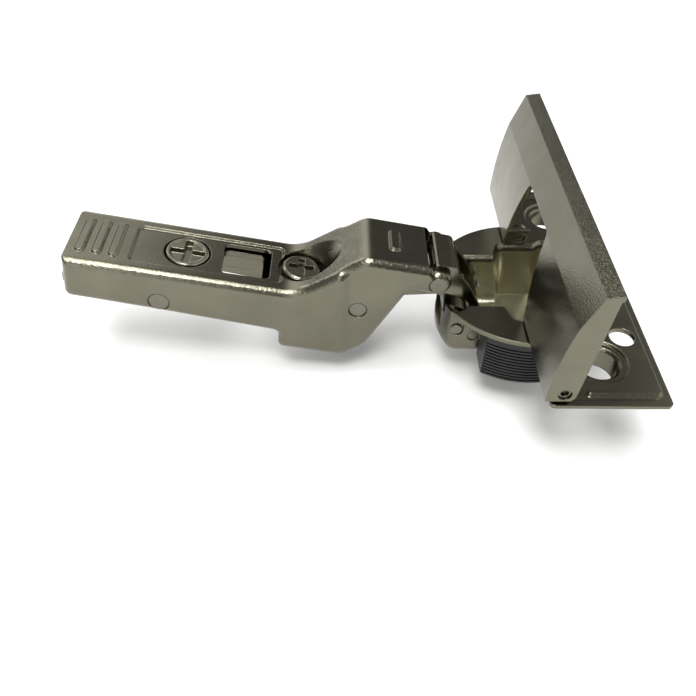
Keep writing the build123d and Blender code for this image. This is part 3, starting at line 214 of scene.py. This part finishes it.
def pocket_light_mask(tree):
    """1 within the cup's drawn pocket, where painted light goes into the colour, 0 on its flange
    and outer wall.
    """
    x, y, z = coordinates(tree, "Object")
    across = math_node(tree, "POWER", x, 2.0)
    along = math_node(tree, "POWER", y, 2.0)
    from_axis = math_node(tree, "SQRT", math_node(tree, "ADD", across, along))
    drawn_in = math_node(tree, "MULTIPLY_ADD", z, POCKET_TAPER, POCKET_R)
    half_width = POCKET_HALF
    for start, wider in POCKET_STEPS:
        past = math_node(tree, "GREATER_THAN", x, start)
        half_width = math_node(tree, "MULTIPLY_ADD", past, wider, half_width)
    mask = math_node(tree, "LESS_THAN", from_axis, drawn_in)
    for limit in (
        math_node(tree, "LESS_THAN", math_node(tree, "ABSOLUTE", y), half_width),
        math_node(tree, "LESS_THAN", z, POCKET_MOUTH_Z),
        math_node(tree, "GREATER_THAN", z, POCKET_FLOOR_Z),
    ):
        mask = math_node(tree, "MULTIPLY", mask, limit)
    return mask


def plated_steel(name, light, dark, smooth, worn, grain, bend_grain=BEND_GRAIN, top_grain=0.0,
                 cells=GRAIN_CELLS, pocket_painted_light=None):
    """Nickel plating over rolled sheet: warm grey, faintly cloudy, grainy where stretched; if
    asked, the cup's pocket is painted far lighter, painted light that stands in for the light
    falling into it.
    """
    material, tree, shader = principled(name)
    shader.inputs["Metallic"].default_value = 1.0
    colour = ramp(tree, noise(tree, CLOUD_CELLS), ((0.25, dark), (0.75, light)))
    # painted light: within the pocket the colour is swapped for a much lighter one, standing in
    # for the light that falls there
    if pocket_painted_light:
        pocket_light_blend = tree.nodes.new("ShaderNodeMixRGB")
        pocket_light_blend.inputs["Color2"].default_value = (*pocket_painted_light, 1.0)
        tree.links.new(pocket_light_mask(tree), pocket_light_blend.inputs["Fac"])
        tree.links.new(colour, pocket_light_blend.inputs["Color1"])
        colour = pocket_light_blend.outputs["Color"]
    tree.links.new(colour, shader.inputs["Base Color"])
    wear = noise(tree, WEAR_CELLS, stretch=(0.5, 1.0, 1.0))
    roughness = ramp(tree, wear, ((0.3, (smooth,) * 3), (0.75, (worn,) * 3)))
    tree.links.new(roughness, shader.inputs["Roughness"])
    on_bends = math_node(tree, "MULTIPLY", bend_mask(tree), bend_grain)
    strength = math_node(tree, "ADD", on_bends, FLAT_GRAIN)
    if top_grain:
        on_tops = math_node(tree, "MULTIPLY", top_mask(tree), top_grain)
        strength = math_node(tree, "ADD", on_tops, strength)
    relief = bump(tree, shader, noise(tree, cells, GRAIN_DETAIL), grain, strength)
    worn_edge = tree.nodes.new("ShaderNodeBevel")
    worn_edge.samples = EDGE_SAMPLES
    worn_edge.inputs["Radius"].default_value = EDGE_WEAR
    tree.links.new(worn_edge.outputs["Normal"], relief.inputs["Normal"])
    return material


def black_plastic():
    """Moulded jaw plastic: satin black with a fine mould texture."""
    material, tree, shader = principled("jaw_black")
    shader.inputs["Specular IOR Level"].default_value = PLASTIC_SPECULAR
    colour = ramp(tree, noise(tree, PLASTIC_TINT_CELLS), PLASTIC_COLOURS)
    roughness = ramp(tree, noise(tree, PLASTIC_WEAR_CELLS), PLASTIC_ROUGHNESS)
    tree.links.new(colour, shader.inputs["Base Color"])
    tree.links.new(roughness, shader.inputs["Roughness"])
    grain = noise(tree, PLASTIC_GRAIN_CELLS)
    bump(tree, shader, grain, PLASTIC_GRAIN, PLASTIC_GRAIN_STRENGTH)
    return material


def floor_material():
    """Matt white studio floor."""
    material, tree, shader = principled("studio_floor")
    shader.inputs["Roughness"].default_value = FLOOR_ROUGHNESS
    shader.inputs["Specular IOR Level"].default_value = FLOOR_SPECULAR
    colour = ramp(tree, noise(tree, FLOOR_CELLS), FLOOR_COLOURS)
    tree.links.new(colour, shader.inputs["Base Color"])
    return material


def dress(frame):
    """Give every node of the frame its material."""
    steel = {name: plated_steel(name, **look) for name, look in METALS.items()}
    by_node = {"cup": steel["nickel_cup"], "flap": steel["nickel_flap"]}
    by_slot = {
        "nickel_sheet": steel["nickel_sheet"],
        "pin_steel": steel["nickel_pin"],
        "screw_steel": steel["nickel_screw"],
        "spring_steel": steel["spring_wire"],
        "jaw_plastic": black_plastic(),
    }
    for part in frame["record"]["subparts"]:
        mesh = frame["nodes"][part["node"]].data
        mesh.materials.clear()
        mesh.materials.append(by_node.get(part["node"], by_slot[part["material_slot"]]))


def add_floor(low):
    """Studio floor, under the lowest point that the cup swings to."""
    bpy.ops.mesh.primitive_plane_add(size=FLOOR_SIZE, location=(0, 0, low - FLOOR_GAP))
    floor = bpy.context.object
    floor.name = "floor"
    floor.data.materials.append(floor_material())


def add_light(name, at, aim, size, power):
    """Rectangular lamp, turned to its aim."""
    light = bpy.data.lights.new(name, "AREA")
    light.shape = "RECTANGLE"
    light.size, light.size_y = size
    light.energy = power
    lamp = bpy.data.objects.new(name, light)
    bpy.context.collection.objects.link(lamp)
    lamp.location = at
    lamp.rotation_euler = (Vector(aim) - Vector(at)).to_track_quat("-Z", "Y").to_euler()


def add_world():
    """Room light that changes along X, with a plain wall where the camera sees it directly."""
    world = bpy.data.worlds.new("studio")
    bpy.context.scene.world = world
    world.use_nodes = True
    tree = world.node_tree
    spread = tree.nodes.new("ShaderNodeMapRange")
    spread.inputs["From Min"].default_value = -1.0
    tree.links.new(coordinates(tree, "Generated")[0], spread.inputs["Value"])
    room = tree.nodes["Background"]
    tree.links.new(ramp(tree, spread.outputs["Result"], SKY_STOPS), room.inputs["Color"])
    room.inputs["Strength"].default_value = SKY_STRENGTH
    wall = tree.nodes.new("ShaderNodeBackground")
    wall.inputs["Color"].default_value = (WALL_GREY, WALL_GREY, WALL_GREY, 1.0)
    path = tree.nodes.new("ShaderNodeLightPath")
    mix = tree.nodes.new("ShaderNodeMixShader")
    tree.links.new(path.outputs["Is Camera Ray"], mix.inputs[0])
    tree.links.new(room.outputs["Background"], mix.inputs[1])
    tree.links.new(wall.outputs["Background"], mix.inputs[2])
    tree.links.new(mix.outputs["Shader"], tree.nodes["World Output"].inputs["Surface"])


def add_camera():
    """Camera at the photographer's place."""
    turn, lift = CAMERA_AZIMUTH, CAMERA_ELEVATION
    level = Vector((math.sin(turn), -math.cos(turn), 0.0))
    back = math.cos(lift) * level + Vector((0.0, 0.0, math.sin(lift)))
    right = Vector((math.cos(turn), math.sin(turn), 0.0))
    up = back.cross(right)
    rolled_right = math.cos(CAMERA_ROLL) * right + math.sin(CAMERA_ROLL) * up
    rolled_up = -math.sin(CAMERA_ROLL) * right + math.cos(CAMERA_ROLL) * up
    data = bpy.data.cameras.new("camera")
    data.lens = CAMERA_LENS
    data.sensor_width = CAMERA_SENSOR
    data.clip_start = CAMERA_CLIP
    camera = bpy.data.objects.new("camera", data)
    bpy.context.collection.objects.link(camera)
    place = Matrix((rolled_right, rolled_up, back)).transposed().to_4x4()
    place.translation = CAMERA_TARGET + CAMERA_DISTANCE * back
    camera.matrix_world = place
    bpy.context.scene.camera = camera


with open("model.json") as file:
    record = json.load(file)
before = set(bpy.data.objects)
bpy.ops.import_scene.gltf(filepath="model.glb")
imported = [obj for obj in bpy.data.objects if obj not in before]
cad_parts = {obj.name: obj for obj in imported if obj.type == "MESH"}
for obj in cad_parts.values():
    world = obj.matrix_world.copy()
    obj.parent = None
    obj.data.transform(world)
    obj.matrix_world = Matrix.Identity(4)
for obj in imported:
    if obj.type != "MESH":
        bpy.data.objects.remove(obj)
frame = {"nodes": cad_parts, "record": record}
cad_low, cad_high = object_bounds()

bpy.context.scene.view_settings.view_transform = "Standard"

dress(frame)
add_floor(cad_low.z)
add_world()
for lamp in LAMPS:
    add_light(*lamp)
add_camera()
